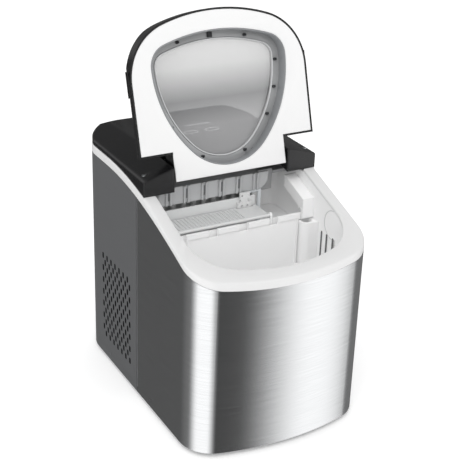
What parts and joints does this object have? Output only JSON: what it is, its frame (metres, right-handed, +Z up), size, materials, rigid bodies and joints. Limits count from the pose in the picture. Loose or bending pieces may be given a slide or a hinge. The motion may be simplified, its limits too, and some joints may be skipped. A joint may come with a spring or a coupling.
{
  "type": "countertop ice maker",
  "caption": "Countertop bullet-ice maker with bowed steel front, dark vented rear shell, white rim and tub, black control housing, and an open lid with a smoked window.",
  "frame": {"origin": "centre of the footprint, on the table under the feet", "axes": "+Z up, the bowed front faces -Y, +X to the right seen from the front"},
  "size_m": [0.2438, 0.356, 0.4936],
  "materials": {
    "brushed_steel": "brushed horizontally, satin",
    "dark_shell": "satin dark grey coating",
    "white_plastic": "moulded, semi-gloss",
    "basket_plastic": "moulded, semi-gloss",
    "grey_plastic": "moulded, satin",
    "tray_plastic": "moulded, satin",
    "black_gloss": "moulded, gloss black",
    "button_plastic": "moulded, satin black",
    "smoked_window": "clear polycarbonate, lightly smoked",
    "lens": "tinted display lens",
    "dark_plastic": "moulded, matte",
    "pan_steel": "zinc-plated and painted pan",
    "foot_rubber": "moulded rubber",
    "foam": "expanded foam",
    "zinc_steel": "zinc plated",
    "nickel_copper": "nickel plated copper",
    "copper": "bare copper tube",
    "compressor_paint": "black enamel",
    "aluminium_fins": "rolled fins",
    "circuit_board": "solder-masked board",
    "hose": "silicone hose"
  },
  "bodies": {
    "housing": {"base_pan": "pan_steel", "feet": "foot_rubber", "front_shell": "brushed_steel", "rear_shell": "dark_shell", "top_rim": "white_plastic", "control_housing": "black_gloss", "indicator_lens": "lens", "control_board": "circuit_board", "hinge_pins": "zinc_steel", "inner_tub": "white_plastic", "tub_insulation": "foam", "sensor_arm_right": "white_plastic", "sensor_arm_left": "white_plastic", "sensor_eyes": "dark_plastic", "tray_motor": "dark_plastic", "evaporator": "nickel_copper", "evaporator_shroud": "grey_plastic", "compressor": "compressor_paint", "compressor_grommets": "foot_rubber", "condenser": "aluminium_fins", "fan_shroud": "dark_plastic", "fan_motor": "zinc_steel", "filter_drier": "copper", "solenoid_valve": "copper", "suction_pipe": "copper", "discharge_pipe": "copper", "liquid_pipe": "copper", "water_pump": "tray_plastic", "pump_hose": "hose", "pump_strainer": "grey_plastic", "main_board": "circuit_board", "cord_gland": "dark_plastic", "drain_fitting": "tray_plastic", "shell_screws": "zinc_steel", "base_screws": "zinc_steel", "housing_screws": "zinc_steel"},
    "lid": {"lid_shell": "black_gloss", "lid_liner": "white_plastic", "lid_window": "smoked_window", "window_screws": "dark_plastic", "window_clip": "dark_plastic"},
    "basket": {"ice_basket": "basket_plastic"},
    "tray": {"water_tray": "tray_plastic", "tray_shaft": "zinc_steel", "tray_lever": "white_plastic"},
    "ramp": {"ice_ramp": "tray_plastic"},
    "power_button": {"power_button": "button_plastic"},
    "select_button": {"select_button": "button_plastic"},
    "fan": {"fan_rotor": "dark_plastic"},
    "drain_cap": {"drain_cap": "grey_plastic"}
  },
  "joints": [
    {"name": "lid_hinge", "type": "hinge", "parent": "housing", "child": "lid", "pos_m": [0, -0.0043, 0.30891], "axis": [1, 0, 0], "range_deg": [0, 126.5]},
    {"name": "basket_lift", "type": "slide", "parent": "housing", "child": "basket", "axis": [0, 0, -1], "range_m": [-0.2, 0]},
    {"name": "power_press", "type": "slide", "parent": "housing", "child": "power_button", "axis": [0, 0, -1], "range_m": [0, 0.0012], "stiffness_N_per_m": 800, "springref_m": -0.001},
    {"name": "select_press", "type": "slide", "parent": "housing", "child": "select_button", "axis": [0, 0, -1], "range_m": [0, 0.0012], "stiffness_N_per_m": 800, "springref_m": -0.001},
    {"name": "tray_tilt", "type": "hinge", "parent": "housing", "child": "tray", "pos_m": [0, 0.022, 0.262], "axis": [1, 0, 0], "range_deg": [0, 40]},
    {"name": "ramp_tilt", "type": "hinge", "parent": "housing", "child": "ramp", "pos_m": [0, -0.044, 0.246], "axis": [1, 0, 0], "range_deg": [0, 32]},
    {"name": "fan_spin", "type": "hinge", "parent": "housing", "child": "fan", "pos_m": [-0.08, 0.06425, 0.095], "axis": [1, 0, 0], "continuous": true},
    {"name": "drain_unscrew", "type": "slide", "parent": "housing", "child": "drain_cap", "axis": [1, 0, 0], "range_m": [0, 0.025]}
  ],
  "couplings": [
    {"joint": "ramp_tilt", "follows": "tray_tilt", "ratio": 0.8}
  ]
}
